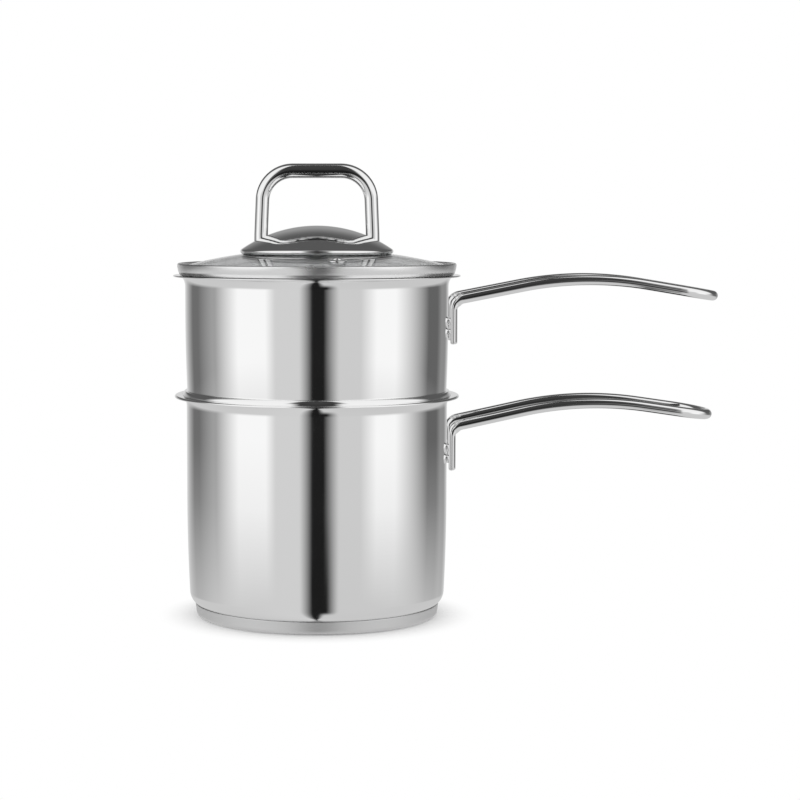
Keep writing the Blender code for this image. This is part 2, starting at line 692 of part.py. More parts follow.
def build():
    clear_scene()
    lower_pan_shell()
    base_core()
    base_cap()
    wire_handle("lower_handle", LOWER_RADIUS, LOWER_REACH, LOWER_HEIGHT - LOWER_CREST_DROP)
    upper = carrier("upper_pan_lift", LOWER_HEIGHT)
    upper_pan_shell(upper)
    wire_handle("upper_handle", UPPER_RADIUS, UPPER_REACH, UPPER_STAND - UPPER_CREST_DROP,
                UPPER_DROOP, upper)
    lid = carrier("lid_lift", UPPER_STAND, upper)
    lid_glass(lid)
    lid_band(lid)
    vent_eyelet(lid)
    knob_plate(lid)
    knob_loop(lid)
    knob_post(lid)
    knob_gasket(lid)
    knob_washer(lid)
    knob_screw(lid)


build()
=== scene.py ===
"""Looks of the two-tier fondue pot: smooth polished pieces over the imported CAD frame.

Metres, +Z up, in the row's frame. Each piece repeats the size of the CAD node that it
stands for, with finer curves, rounded sheet edges and its own procedural finish.
"""

import math

import bmesh
import bpy
from mathutils import Matrix, Vector


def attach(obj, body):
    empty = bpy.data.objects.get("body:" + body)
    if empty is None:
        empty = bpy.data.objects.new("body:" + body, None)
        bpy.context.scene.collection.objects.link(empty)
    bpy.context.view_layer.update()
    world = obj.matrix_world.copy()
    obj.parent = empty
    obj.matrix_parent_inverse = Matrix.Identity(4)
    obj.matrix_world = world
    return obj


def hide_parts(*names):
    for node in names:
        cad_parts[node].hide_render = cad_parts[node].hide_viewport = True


# The photograph's camera, in front of the pot; the frame keeps the handles in view
CAMERA_PLACE = (0.0, -1.371, 0.2535)
CAMERA_PITCH = math.radians(5.0)
CAMERA_LENS = 99.9
CAMERA_SHIFT = 0.1039

# Roundness
STEPS = 192
SMALL_STEPS = 64
GLASS_STEPS = 160
BAR_SIDES = 32
BAR_SHARP = 50               # degrees over which an edge of a bar stays sharp
WELD_SIDES = 24
ARC_STEPS = 14
EDGE_STEPS = 6
ON_AXIS = 1e-6               # a radius under this is a point on the axis

# Pans
PAN_WALL = 0.0009
LIP_REACH = 0.0074
FLARE_RISE = 0.0062
FLARE_REACH = 0.0034
LIP_ROLL = 0.0010
LIP_EDGE = 0.0015
LOWER_RADIUS = 0.0805
LOWER_HEIGHT = 0.1374
LOWER_FLOOR = 0.0065
LOWER_CORNER = 0.009
BELLY_HEIGHT = 0.075
BELLY_RADIUS = 1.2
UPPER_RADIUS = 0.08115
UPPER_STAND = 0.0737
UPPER_BELLY = 0.0526
COLLAR_RISE = 0.0026
COLLAR_FILLET = 0.0004
COLLAR_ROLL = 0.0006
COLLAR_LEAN = (5.0, 40.0)
COLLAR_SHARE = 0.565
COLLAR_GROOVE = 0.0020
COLLAR_SEAT = 60.0           # degrees up the lower flare where the seat's chord starts
COLLAR_CLEAR = 0.0001        # points of the seat nearer to the edge are left out
NECK_END = 50.0              # degrees up the lower flare that the groove's foot follows
GROOVE_ROLL = 0.0005
GROOVE_FILLET = 0.0003
NEST_FOOT = 0.0780
NEST_DEPTH = 0.0331
NEST_CORNER = 0.009

# Capsule base
BASE_RADIUS = 0.0757
BASE_TOP = 0.0079
CAP_WALL = 0.0005
CAP_CORNER = 0.0032
CAP_DRAFT = 0.0006

# Wire handles
WIRE_RADIUS = 0.0031
WIRE_SPREAD = 0.0400
WIRE_BEND = 0.0070
RISE_SLOPE = 12.4
DROP_SLOPE = 8.2
CREST_RADIUS = 0.210
CREST_REACH = 0.171
UPPER_DROOP = 1.3
UPPER_CREST = 0.2085
LOWER_CREST = 0.1333
UPPER_REACH = 0.24715
LOWER_REACH = 0.24445
FOOT_LENGTH = 0.0209
FOOT_DEPTH = 0.0038
FOOT_WIDTH = 0.0074
FOOT_ROUNDING = 0.0005
FOOT_FADE = 40.0             # degrees of the bend in which the flat foot turns round
WELD_HEIGHT = 0.0028
WELD_RADIUS = 0.0023
WELD_PITCH = 0.0068
WELD_OVERLAP = 1.3           # a weld's length, of the gap that it fills
WELD_SWELL = 0.35            # how much wider a weld is at its ends

# Lid
LIP_TOP = 0.2111
GLASS_SPHERE = 0.330
GLASS_THICKNESS = 0.0040
GLASS_CHAMFER = 0.0004
GLASS_RADIUS = 0.0843
GLASS_RISE = 0.0011
GLASS_BORE = 0.0045
BAND_RADIUS = 0.0860
BAND_WALL = 0.0005
BAND_ROLL = 0.0011
BAND_RIM = 0.0016
BAND_HEM = 0.0015
BAND_LEAN = (3.0, 22.0)
BAND_COVER = 0.0036
BAND_SEAT = (25.0, 60.0)     # degrees of the upper lip's flare that the band follows
BAND_CORNER = 150            # degrees at which the rolled rim starts, over the glass
SKIRT_RADIUS = 0.07965
SKIRT_DEPTH = 0.0095
FIT_GAP = 0.0003
VENT_RADIUS = 0.0625
VENT_TURN = 11.0
VENT_BORE = 0.0022
EYELET_TUBE = 0.0035
EYELET_FLANGE = 0.0056
EYELET_SHEET = 0.0007
EYELET_LAP = 0.0004          # how far the upper flange's arc reaches past the tube
EYELET_FLATNESS = 0.5
EYELET_CLINCH = 0.001        # how much smaller the lower flange is than the upper

# Knob
PLATE_RADIUS = 0.0472
PLATE_SPHERE = 0.0820
PLATE_EDGE = 0.0021
PLATE_ROLL = 0.0010
PLATE_WALL = 0.0008
PLATE_BEAD_START = 57        # degrees at which the dome runs into the beaded edge
FINGER_GAP = 0.0290
LOOP_WIDTH = 0.0754
LOOP_SPLAY = 0.0009
LOOP_CORNER = 0.0185
LOOP_BAR_RADIUS = 0.0045
LOOP_LEG_RADIUS = 0.0042
LOOP_SINK = 0.0004


def arc(centre, radius, start, end, steps=ARC_STEPS):
    """Points on an arc; the angles are in degrees."""
    points = []
    for step in range(steps + 1):
        angle = math.radians(start + (end - start) * step / steps)
        points.append((centre[0] + radius * math.cos(angle),
                       centre[1] + radius * math.sin(angle)))
    return points


def sagitta(sphere, radius):
    """How far a sphere has dropped at this distance from its top."""
    return sphere - math.sqrt(sphere * sphere - radius * radius)


def spread(start, end, steps):
    """Evenly spaced values from start to end, both kept."""
    return [start + (end - start) * step / steps for step in range(steps + 1)]


def raised(points, height):
    return [(radius, level + height) for radius, level in points]


def offset(points, distance):
    """The same line moved to the right of its travel, with mitred corners."""
    moved = []
    for index, point in enumerate(points):
        before = points[max(index - 1, 0)]
        after = points[min(index + 1, len(points) - 1)]
        normals = []
        for first, second in ((before, point), (point, after)):
            length = math.dist(first, second)
            if length > 0:
                normals.append(Vector(((second[1] - first[1]) / length,
                                       (first[0] - second[0]) / length)))
        if len(normals) == 1:
            normals *= 2
        middle = (normals[0] + normals[1]).normalized()
        reach = distance / middle.dot(normals[0])
        moved.append((max(point[0] + middle.x * reach, 0.0), point[1] + middle.y * reach))
    return moved


def refined(points, longest=0.005, guard=0.0004):
    """Extra points beside each corner and along each straight, so that shading stays true."""
    fine = [points[0]]
    for first, second in zip(points, points[1:]):
        length = math.dist(first, second)
        if length > 3 * guard:
            inner = length - 2 * guard
            count = max(math.ceil(inner / longest), 1)
            for share in range(count + 1):
                along = (guard + inner * share / count) / length
                fine.append((first[0] + (second[0] - first[0]) * along,
                             first[1] + (second[1] - first[1]) * along))
        fine.append(second)
    return fine


def finish_mesh(name, form, finish, sharp):
    """The form as an object, smooth but for edges over the sharp angle."""
    bmesh.ops.recalc_face_normals(form, faces=form.faces)
    mesh = bpy.data.meshes.new(name)
    form.to_mesh(mesh)
    form.free()
    mesh.shade_smooth()
    mesh.set_sharp_from_angle(angle=math.radians(sharp))
    mesh.materials.append(finish)
    item = bpy.data.objects.new(name, mesh)
    bpy.context.scene.collection.objects.link(item)
    return item


def lathe(name, outline, finish, steps=STEPS, closed=True, sharp=40):
    """An outline of radius and height turned round the Z axis."""
    form = bmesh.new()
    rings = []
    for radius, height in outline:
        if radius < ON_AXIS:
            rings.append([form.verts.new((0.0, 0.0, height))])
            continue
        ring = []
        for step in range(steps):
            angle = 2 * math.pi * step / steps
            ring.append(form.verts.new((radius * math.cos(angle), radius * math.sin(angle),
                                        height)))
        rings.append(ring)
    pairs = list(zip(rings, rings[1:]))
    if closed:
        pairs.append((rings[-1], rings[0]))
    for first, second in pairs:
        for index in range(steps):
            after = (index + 1) % steps
            corners = [first[index % len(first)], first[after % len(first)],
                       second[after % len(second)], second[index % len(second)]]
            corners = list(dict.fromkeys(corners))
            if len(corners) > 2:
                form.faces.new(corners)
    return finish_mesh(name, form, finish, sharp)


def sheet_outline(outer, wall):
    """Closed outline of a sheet from its outer side, with the free edge rounded."""
    outer = refined(outer)
    inner = offset(outer, wall)
    edge, other = Vector(outer[0]), Vector(inner[0])
    middle = (edge + other) / 2
    away = Vector(outer[0]) - Vector(outer[1])
    away.normalize()
    cap = []
    for step in range(1, EDGE_STEPS):
        angle = math.pi * step / EDGE_STEPS
        across = (other - edge) / 2 * -math.cos(angle)
        point = middle + across + away * (wall / 2) * math.sin(angle)
        cap.append((point.x, point.y))
    return outer, cap, inner


def sheet(name, outer, wall, finish, steps=STEPS):
    """Turned sheet metal of one thickness, from its outer side."""
    outer, cap, inner = sheet_outline(outer, wall)
    outline = cap[::-1] + outer + inner[::-1]
    return lathe(name, outline, finish, steps)


def sweep(name, stations, finish, sides=BAR_SIDES, ends=None):
    """A bar through its sections; ends gives the height of each end's points."""
    form = bmesh.new()
    rings = []
    for centre, tangent, up, width, depth, power in stations:
        side = tangent.cross(up)
        ring = []
        for index in range(sides):
            angle = 2 * math.pi * index / sides
            rise = math.copysign(abs(math.cos(angle)) ** (2 / power), math.cos(angle))
            reach = math.copysign(abs(math.sin(angle)) ** (2 / power), math.sin(angle))
            ring.append(form.verts.new(centre + up * depth * rise + side * width * reach))
        rings.append(ring)
    for first, second in zip(rings, rings[1:]):
        for index in range(sides):
            after = (index + 1) % sides
            form.faces.new((first[index], first[after], second[after], second[index]))
    form.faces.new(list(reversed(rings[0])))
    form.faces.new(rings[-1])
    if ends:
        for vert in rings[0] + rings[-1]:
            vert.co.z = ends(vert.co)
    return finish_mesh(name, form, finish, BAR_SHARP)


# Node helpers

def add(tree, kind, *links, **settings):
    """A node with its settings, whose inputs are linked or set in order."""
    node = tree.nodes.new(kind)
    for key, value in settings.items():
        setattr(node, key, value)
    for index, value in enumerate(links):
        if value is None:
            continue
        if isinstance(value, bpy.types.NodeSocket):
            tree.links.new(value, node.inputs[index])
        else:
            node.inputs[index].default_value = value
    return node


def math_node(tree, operation, *values):
    return add(tree, "ShaderNodeMath", *values, operation=operation).outputs[0]


def map_range(tree, value, low, high, to_low=0.0, to_high=1.0, kind='SMOOTHSTEP'):
    node = add(tree, "ShaderNodeMapRange", value, low, high, to_low, to_high,
               interpolation_type=kind)
    return node.outputs[0]


def new_material(name, colour, roughness, metallic):
    """A material with its node tree and its main shader."""
    made = bpy.data.materials.new(name)
    made.use_nodes = True
    shader = made.node_tree.nodes["Principled BSDF"]
    shader.inputs["Base Color"].default_value = (*colour, 1.0)
    shader.inputs["Roughness"].default_value = roughness
    shader.inputs["Metallic"].default_value = metallic
    made.diffuse_color = (*colour, 1.0)
    return made, made.node_tree, shader


def object_point(tree):
    return add(tree, "ShaderNodeTexCoord").outputs["Object"]


def polished(name, low=0.03, high=0.07, colour=(0.93, 0.93, 0.93)):
    """Mirror-polished steel: the polish varies a little from place to place."""
    made, tree, shader = new_material(name, colour, low, 1.0)
    point = object_point(tree)
    cloud = add(tree, "ShaderNodeTexNoise", point)
    cloud.inputs["Scale"].default_value = 38.0
    cloud.inputs["Detail"].default_value = 3.0
    tree.links.new(map_range(tree, cloud.outputs[0], 0.35, 0.65, low, high, 'LINEAR'),
                   shader.inputs["Roughness"])
    return made


def satin(name):
    """Satin steel of the base: fine turned rings and an even bead-blasted grain."""
    made, tree, shader = new_material(name, (0.80, 0.80, 0.80), 0.42, 1.0)
    point = object_point(tree)
    rings = add(tree, "ShaderNodeTexWave", point, wave_type='RINGS', rings_direction='Z')
    rings.inputs["Scale"].default_value = 700.0
    rings.inputs["Distortion"].default_value = 0.4
    grain = add(tree, "ShaderNodeTexNoise", point)
    grain.inputs["Scale"].default_value = 2600.0
    height = math_node(tree, 'ADD', rings.outputs[1], grain.outputs[0])
    bump = add(tree, "ShaderNodeBump")
    bump.inputs["Strength"].default_value = 0.25
    bump.inputs["Distance"].default_value = 0.00005
    tree.links.new(height, bump.inputs["Height"])
    tree.links.new(bump.outputs[0], shader.inputs["Normal"])
    tree.links.new(map_range(tree, grain.outputs[0], 0.3, 0.7, 0.36, 0.48, 'LINEAR'),
                   shader.inputs["Roughness"])
    return made


def clear_glass(name):
    made, tree, shader = new_material(name, (0.68, 0.69, 0.69), 0.0, 0.0)
    shader.inputs["Transmission Weight"].default_value = 1.0
    shader.inputs["IOR"].default_value = 1.5
    cloud = add(tree, "ShaderNodeTexNoise", object_point(tree))
    cloud.inputs["Scale"].default_value = 25.0
    tree.links.new(map_range(tree, cloud.outputs[0], 0.4, 0.8, 0.0, 0.002, 'LINEAR'),
                   shader.inputs["Roughness"])
    return made


def silicone(name):
    made, tree, shader = new_material(name, (0.78, 0.78, 0.75), 0.5, 0.0)
    shader.inputs["Subsurface Weight"].default_value = 0.3
    shader.inputs["Subsurface Radius"].default_value = (0.002, 0.002, 0.002)
    cloud = add(tree, "ShaderNodeTexNoise", object_point(tree))
    cloud.inputs["Scale"].default_value = 900.0
    tree.links.new(map_range(tree, cloud.outputs[0], 0.3, 0.7, 0.45, 0.6, 'LINEAR'),
                   shader.inputs["Roughness"])
    return made


# Pieces

def stand_for(item, body, slot, *nodes):
    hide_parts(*nodes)
    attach(item, body)
    return item


def flare(radius, top, lift, start=0.0, end=90.0):
    """Points on the flare below a lip, lifted off its outside: 0 is the wall, 90 the lip."""
    points = []
    for degrees in spread(start, end, ARC_STEPS):
        angle = math.radians(degrees)
        points.append((radius + FLARE_REACH - (FLARE_REACH + lift) * math.cos(angle),
                       top - PAN_WALL - FLARE_RISE + (FLARE_RISE + lift) * math.sin(angle)))
    return points


def belly(radius, start, end, steps):
    """A wall that draws in on a wide arc below the height where it starts."""
    return [(radius - sagitta(BELLY_RADIUS, start - level), level)
            for level in spread(start, end, steps)]


def lower_pan():
    """Shell of the lower pan, from its lip down to the middle of its floor."""
    height = LOWER_FLOOR + LOWER_CORNER
    slope = math.asin((BELLY_HEIGHT - height) / BELLY_RADIUS)
    start = height - LOWER_CORNER * math.sin(slope)
    wall = belly(LOWER_RADIUS, BELLY_HEIGHT, start, 24)
    radius = wall[-1][0] - LOWER_CORNER * math.cos(slope)
    edge = LOWER_RADIUS + LIP_REACH
    outer = [(edge - PAN_WALL, LOWER_HEIGHT - LIP_EDGE + PAN_WALL / 2)]
    outer += arc((edge - LIP_ROLL, LOWER_HEIGHT - LIP_ROLL), LIP_ROLL - PAN_WALL, 0, 90, 8)
    outer += flare(LOWER_RADIUS, LOWER_HEIGHT, 0.0)[::-1]
    outer += wall[:-1]
    outer += arc((radius, height), LOWER_CORNER, -math.degrees(slope), -90, 18)
    outer.append((0.0, LOWER_FLOOR))
    shell = sheet("lower_pan_polished", outer, PAN_WALL, polished("lower_pan_steel"))
    return stand_for(shell, "lower_pan", "polished_steel", "lower_pan_shell")


def base():
    """Satin cap of the capsule base."""
    side = BASE_RADIUS - CAP_DRAFT
    outer = [(BASE_RADIUS, BASE_TOP)]
    outer += arc((side - CAP_CORNER, CAP_CORNER), CAP_CORNER, 0, -90)
    outer.append((0.0, 0.0))
    cap = sheet("base_cap_satin", outer, CAP_WALL, satin("base_satin_steel"))
    return stand_for(cap, "lower_pan", "satin_steel", "base_cap")


def collar_edge():
    """Outer edge of the stop collar, where its upright side meets the flare it seats in."""
    seat = flare(LOWER_RADIUS, 0.0, PAN_WALL + FIT_GAP, COLLAR_SEAT)
    return (seat[0][0] + (seat[-1][0] - seat[0][0]) * COLLAR_SHARE,
            seat[0][1] + (seat[-1][1] - seat[0][1]) * COLLAR_SHARE)


def collar(wall):
    """The stop collar and the part of the upper wall that nests in the lower lip's flare."""
    edge = collar_edge()
    low, high = (math.radians(lean) for lean in COLLAR_LEAN)
    span = COLLAR_RISE - COLLAR_ROLL * (1 - math.sin(high)) - edge[1]
    side = span / (math.sin(high) - math.sin(low))
    centre = (edge[0] - side * math.cos(low), edge[1] - side * math.sin(low))
    roll = (centre[0] + (side - COLLAR_ROLL) * math.cos(high), COLLAR_RISE - COLLAR_ROLL)
    outline = arc((wall + COLLAR_FILLET, COLLAR_RISE + COLLAR_FILLET), COLLAR_FILLET, 180, 270, 6)
    outline += arc(roll, COLLAR_ROLL, 90, COLLAR_LEAN[1], 8)
    outline += arc(centre, side, COLLAR_LEAN[1], COLLAR_LEAN[0])[1:]
    seat = flare(LOWER_RADIUS, 0.0, PAN_WALL + FIT_GAP)
    return outline + [point for point in seat[::-1] if point[0] < edge[0] - COLLAR_CLEAR]


def collar_inside(wall):
    """Inside of the same collar: a groove in the wall, from its lower side up."""
    height = COLLAR_RISE - PAN_WALL
    groove = collar_edge()[0] - COLLAR_GROOVE
    inside = flare(LOWER_RADIUS, 0.0, 2 * PAN_WALL + FIT_GAP, 0.0, NECK_END)
    inside += arc((groove - GROOVE_ROLL, height - GROOVE_ROLL), GROOVE_ROLL, 0, 90, 6)
    fillet = (wall - PAN_WALL + GROOVE_FILLET, height + GROOVE_FILLET)
    return inside + arc(fillet, GROOVE_FILLET, 270, 180, 4)


def upper_pan():
    """Shell of the upper pan: inside from the middle up, round the lip and down again."""
    corner = (NEST_FOOT - NEST_CORNER, NEST_CORNER - NEST_DEPTH)
    wall = belly(UPPER_RADIUS, UPPER_BELLY, COLLAR_RISE + COLLAR_FILLET, 24)
    inside = [(0.0, PAN_WALL - NEST_DEPTH)]
    inside += arc(corner, NEST_CORNER - PAN_WALL, -90, 0)
    inside += collar_inside(wall[-1][0])
    inside += [(radius - PAN_WALL, height) for radius, height in wall[::-1]]
    inside += flare(UPPER_RADIUS, UPPER_STAND, PAN_WALL)
    edge = (UPPER_RADIUS + LIP_REACH - PAN_WALL / 2, UPPER_STAND - PAN_WALL / 2)
    outside = flare(UPPER_RADIUS, UPPER_STAND, 0.0)[::-1]
    outside += wall[:-1] + collar(wall[-1][0])
    outside += arc(corner, NEST_CORNER, 0, -90)
    outside.append((0.0, -NEST_DEPTH))
    inside.append((edge[0], UPPER_STAND))
    outside.insert(0, (edge[0], UPPER_STAND - PAN_WALL))
    outline = refined(inside) + arc(edge, PAN_WALL / 2, 90, -90, 8)[1:-1] + refined(outside)
    shell = lathe("upper_pan_polished", raised(outline, LOWER_HEIGHT),
                  polished("upper_pan_steel"), closed=False)
    return stand_for(shell, "upper_pan", "polished_steel", "upper_pan_shell")


def wire_line(wall, reach, crest, droop):
    """One wire from foot to tip turn: distance, height, slope and how flat it is."""
    rise_slope = RISE_SLOPE - droop
    drop_slope = DROP_SLOPE + droop
    rise = math.radians(rise_slope)
    drop = math.radians(drop_slope)
    summit = CREST_REACH - CREST_RADIUS * math.sin(math.radians(droop))
    foot_radius = wall + WELD_HEIGHT + FOOT_DEPTH / 2
    foot = math.sqrt(foot_radius ** 2 - (WIRE_SPREAD / 2) ** 2)
    centre = crest - CREST_RADIUS
    rise_end = (summit - CREST_RADIUS * math.sin(rise),
                centre + CREST_RADIUS * math.cos(rise))
    bend_out = foot + WIRE_BEND * (1 - math.sin(rise))
    bend_top = rise_end[1] - (rise_end[0] - bend_out) * math.tan(rise)
    bend = (foot + WIRE_BEND, bend_top - WIRE_BEND * math.cos(rise))
    line = []
    for level in spread(bend[1] - FOOT_LENGTH, bend[1], 12):
        line.append((foot, level, 90.0, 1.0))
    for slope in spread(90.0, rise_slope, 18)[1:]:
        angle = math.radians(slope)
        flat = max(1.0 - (90.0 - slope) / FOOT_FADE, 0.0)
        line.append((bend[0] - WIRE_BEND * math.sin(angle),
                     bend[1] + WIRE_BEND * math.cos(angle), slope, flat * flat * (3 - 2 * flat)))
    for distance in spread(bend_out, rise_end[0], 10)[1:-1]:
        line.append((distance, bend_top + (distance - bend_out) * math.tan(rise),
                     rise_slope, 0.0))
    for slope in spread(rise_slope, -drop_slope, 28):
        angle = math.radians(slope)
        line.append((summit - CREST_RADIUS * math.sin(angle),
                     centre + CREST_RADIUS * math.cos(angle), slope, 0.0))
    turn = reach - (WIRE_SPREAD / 2 + WIRE_RADIUS) * math.cos(drop)
    last = line[-1]
    for distance in spread(last[0], turn, 6)[1:]:
        line.append((distance, last[1] - (distance - last[0]) * math.tan(drop),
                     -drop_slope, 0.0))
    return line


def wire_stations(wall, reach, crest, droop):
    """Sections of the whole hairpin: out along one wire, round the tip and back."""
    line = wire_line(wall, reach, crest, droop)
    half = WIRE_SPREAD / 2
    swing = math.asin(half / (wall + WELD_HEIGHT + FOOT_DEPTH / 2))
    out, back = [], []
    for index, (distance, height, slope, flat) in enumerate(line):
        angle = math.radians(slope)
        tangent = Vector((math.cos(angle), 0.0, math.sin(angle)))
        up = Vector((-math.sin(angle), 0.0, math.cos(angle)))
        width = WIRE_RADIUS + (FOOT_WIDTH / 2 - WIRE_RADIUS) * flat
        depth = WIRE_RADIUS + (FOOT_DEPTH / 2 - WIRE_RADIUS) * flat
        if index == 0:
            width -= FOOT_ROUNDING
            depth -= FOOT_ROUNDING
        power = 2.0 + flat
        for side, stations in ((1, out), (-1, back)):
            facing = Matrix.Rotation(side * swing * flat, 3, tangent) @ up
            stations.append((Vector((distance, side * half, height)), tangent * side, facing,
                             width, depth, power))
    tip = Vector((line[-1][0], 0.0, line[-1][1]))
    angle = math.radians(line[-1][2])
    ahead = Vector((math.cos(angle), 0.0, math.sin(angle)))
    up = Vector((-math.sin(angle), 0.0, math.cos(angle)))
    across = Vector((0.0, 1.0, 0.0))
    bend = []
    for turn in spread(0.0, math.pi, 36)[1:-1]:
        outward = across * math.cos(turn) + ahead * math.sin(turn)
        tangent = ahead * math.cos(turn) - across * math.sin(turn)
        bend.append((tip + outward * half, tangent, up, WIRE_RADIUS, WIRE_RADIUS, 2.0))
    for stations in (out, back):
        rounded = Vector(stations[0][0])
        rounded.z += FOOT_ROUNDING
        stations.insert(1, (rounded, *stations[1][1:]))
    return out + bend + back[::-1]


def weld_pads(name, wall, stations, finish):
    """The spots that hold each flattened foot off the wall, spread at both ends."""
    foot_end = stations[0][0].z
    centre_radius = wall + WELD_HEIGHT + FOOT_DEPTH / 2
    swing = math.asin(WIRE_SPREAD / 2 / centre_radius)
    form = bmesh.new()
    rings = 8
    for side in (1, -1):
        place = Matrix.Rotation(side * swing, 4, 'Z') @ Matrix.Translation((wall, 0.0, 0.0))
        for level in (1, 2):
            last = None
            for step in range(rings + 1):
                along = WELD_HEIGHT * WELD_OVERLAP * step / rings
                swell = 1.0 + WELD_SWELL * abs(2 * step / rings - 1) ** 2
                ring = []
                for part in range(WELD_SIDES):
                    angle = 2 * math.pi * part / WELD_SIDES
                    reach = WELD_RADIUS * swell
                    point = place @ Vector((along, reach * math.cos(angle), 0.0))
                    point.z = foot_end + WELD_PITCH * level + reach * math.sin(angle)
                    ring.append(form.verts.new(point))
                if last:
                    for part in range(WELD_SIDES):
                        after = (part + 1) % WELD_SIDES
                        form.faces.new((last[part], last[after], ring[after], ring[part]))
                else:
                    form.faces.new(list(reversed(ring)))
                last = ring
            form.faces.new(last)
    return finish_mesh(f"{name}_welds", form, finish, BAR_SHARP)


def handle(name, body, wall, reach, crest, droop=0.0):
    """A hairpin handle with its welds.

    Shine shows no image of it: the photograph has only short curves of it in the walls.
    """
    finish = polished(f"{name}_steel", 0.03, 0.06)
    stations = wire_stations(wall, reach, crest, droop)
    bar = sweep(f"{name}_wire", stations, finish)
    bar.visible_glossy = False
    stand_for(bar, body, "polished_steel", name)
    welds = weld_pads(name, wall, stations, polished(f"{name}_weld_steel", 0.08, 0.2))
    welds.visible_glossy = False
    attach(welds, body)


def glass_top(radius):
    """Height of the lid glass's upper face at this distance from the axis."""
    rim = GLASS_RISE + GLASS_THICKNESS + sagitta(GLASS_SPHERE, GLASS_RADIUS)
    return LIP_TOP + rim - sagitta(GLASS_SPHERE, radius)


def lid_glass():
    face = GLASS_RADIUS - GLASS_CHAMFER
    radii = spread(GLASS_BORE, face, 48)
    outline = [(radius, glass_top(radius)) for radius in radii]
    outline.append((GLASS_RADIUS, glass_top(face) - GLASS_CHAMFER))
    outline.append((GLASS_RADIUS, glass_top(face) - GLASS_THICKNESS + GLASS_CHAMFER))
    outline += [(radius, glass_top(radius) - GLASS_THICKNESS) for radius in reversed(radii)]
    pane = lathe("lid_glass_clear", outline, clear_glass("lid_clear_glass"), GLASS_STEPS,
                 sharp=25)
    return stand_for(pane, "lid", "clear_glass", "lid_glass")


def lid_band():
    """Steel band rolled over the glass's edge, with the skirt that centres the lid."""
    high, low = (math.radians(lean) for lean in BAND_LEAN)
    cover = BAND_RADIUS - BAND_COVER
    stand = FIT_GAP + BAND_WALL
    corner = BAND_RADIUS - BAND_ROLL
    corner_top = glass_top(corner) + stand + BAND_RIM - BAND_ROLL
    span = (corner_top - LIP_TOP - BAND_ROLL * math.sin(high)
            - BAND_HEM * (1 - math.sin(low)))
    face = span / (math.sin(low) - math.sin(high))
    centre = (corner - (face - BAND_ROLL) * math.cos(high),
              corner_top + (face - BAND_ROLL) * math.sin(high))
    hem = (centre[0] + (face - BAND_HEM) * math.cos(low),
           centre[1] - (face - BAND_HEM) * math.sin(low))
    outer = [(cover, glass_top(cover) + stand)]
    outer += arc((corner, corner_top), BAND_ROLL, BAND_CORNER, -BAND_LEAN[0], 20)
    outer += arc(centre, face, -BAND_LEAN[0], -BAND_LEAN[1])[1:]
    outer += arc(hem, BAND_HEM, -BAND_LEAN[1], -90)[1:]
    outer += flare(UPPER_RADIUS, LIP_TOP, PAN_WALL + FIT_GAP, *BAND_SEAT)[::-1]
    outer.append((SKIRT_RADIUS, LIP_TOP - PAN_WALL - FLARE_RISE))
    outer.append((SKIRT_RADIUS, LIP_TOP - SKIRT_DEPTH + BAND_WALL / 2))
    band = sheet("lid_band_rolled", outer, BAND_WALL, polished("band_steel", 0.20, 0.28))
    return stand_for(band, "lid", "polished_steel", "lid_band")


def vent():
    """Eyelet of the steam vent, tilted to the glass that it stands on."""
    below = -GLASS_THICKNESS - FIT_GAP
    clinched = EYELET_FLANGE - EYELET_CLINCH
    bulge = (EYELET_FLANGE - EYELET_TUBE) / 2
    outline = [(VENT_BORE, FIT_GAP)]
    for radius, level in arc((EYELET_TUBE + bulge - EYELET_LAP, FIT_GAP), bulge + EYELET_LAP,
                             180, 0, 20):
        outline.append((max(radius, VENT_BORE), FIT_GAP + (level - FIT_GAP) * EYELET_FLATNESS))
    outline += [(EYELET_TUBE, 0.0), (EYELET_TUBE, below), (clinched, below),
                (clinched, below - EYELET_SHEET), (VENT_BORE, below - EYELET_SHEET)]
    ring = lathe("vent_ring", outline, polished("eyelet_steel"), SMALL_STEPS)
    slope = math.asin(VENT_RADIUS / GLASS_SPHERE)
    ring.data.transform(Matrix.Rotation(math.radians(VENT_TURN), 4, 'Z')
                        @ Matrix.Translation((0.0, -VENT_RADIUS, glass_top(VENT_RADIUS)))
                        @ Matrix.Rotation(slope, 4, 'X'))
    return stand_for(ring, "lid", "polished_steel", "vent_eyelet")


def plate_heights():
    """Heights of the knob plate's foot, of its dome's edge and of its crown."""
    foot = glass_top(PLATE_RADIUS) + FIT_GAP
    spring = foot + PLATE_EDGE + PLATE_ROLL
    return foot, spring, spring + sagitta(PLATE_SPHERE, PLATE_RADIUS - PLATE_ROLL)


def knob_plate():
    """Domed plate under the loop, with a beaded edge."""
    foot, spring, crown = plate_heights()
    dome_edge = PLATE_RADIUS - PLATE_ROLL
    edge = math.degrees(math.asin(dome_edge / PLATE_SPHERE))
    outer = []
    for angle in spread(0.0, edge, 36):
        radius = PLATE_SPHERE * math.sin(math.radians(angle))
        outer.append((radius, crown - sagitta(PLATE_SPHERE, radius)))
    bead = (spring - foot) / 2
    outer += arc((PLATE_RADIUS - bead, foot + bead), bead, PLATE_BEAD_START, -90, 24)
    turned = refined(outer[::-1])
    inner = offset(turned, -PLATE_WALL)
    cap = arc((PLATE_RADIUS - bead, foot + PLATE_WALL / 2), PLATE_WALL / 2, -90, -270, 8)
    outline = turned[::-1] + cap[1:-1] + inner
    plate = lathe("knob_plate_domed", outline, polished("plate_steel"), STEPS)
    return stand_for(plate, "lid", "polished_steel", "knob_plate")


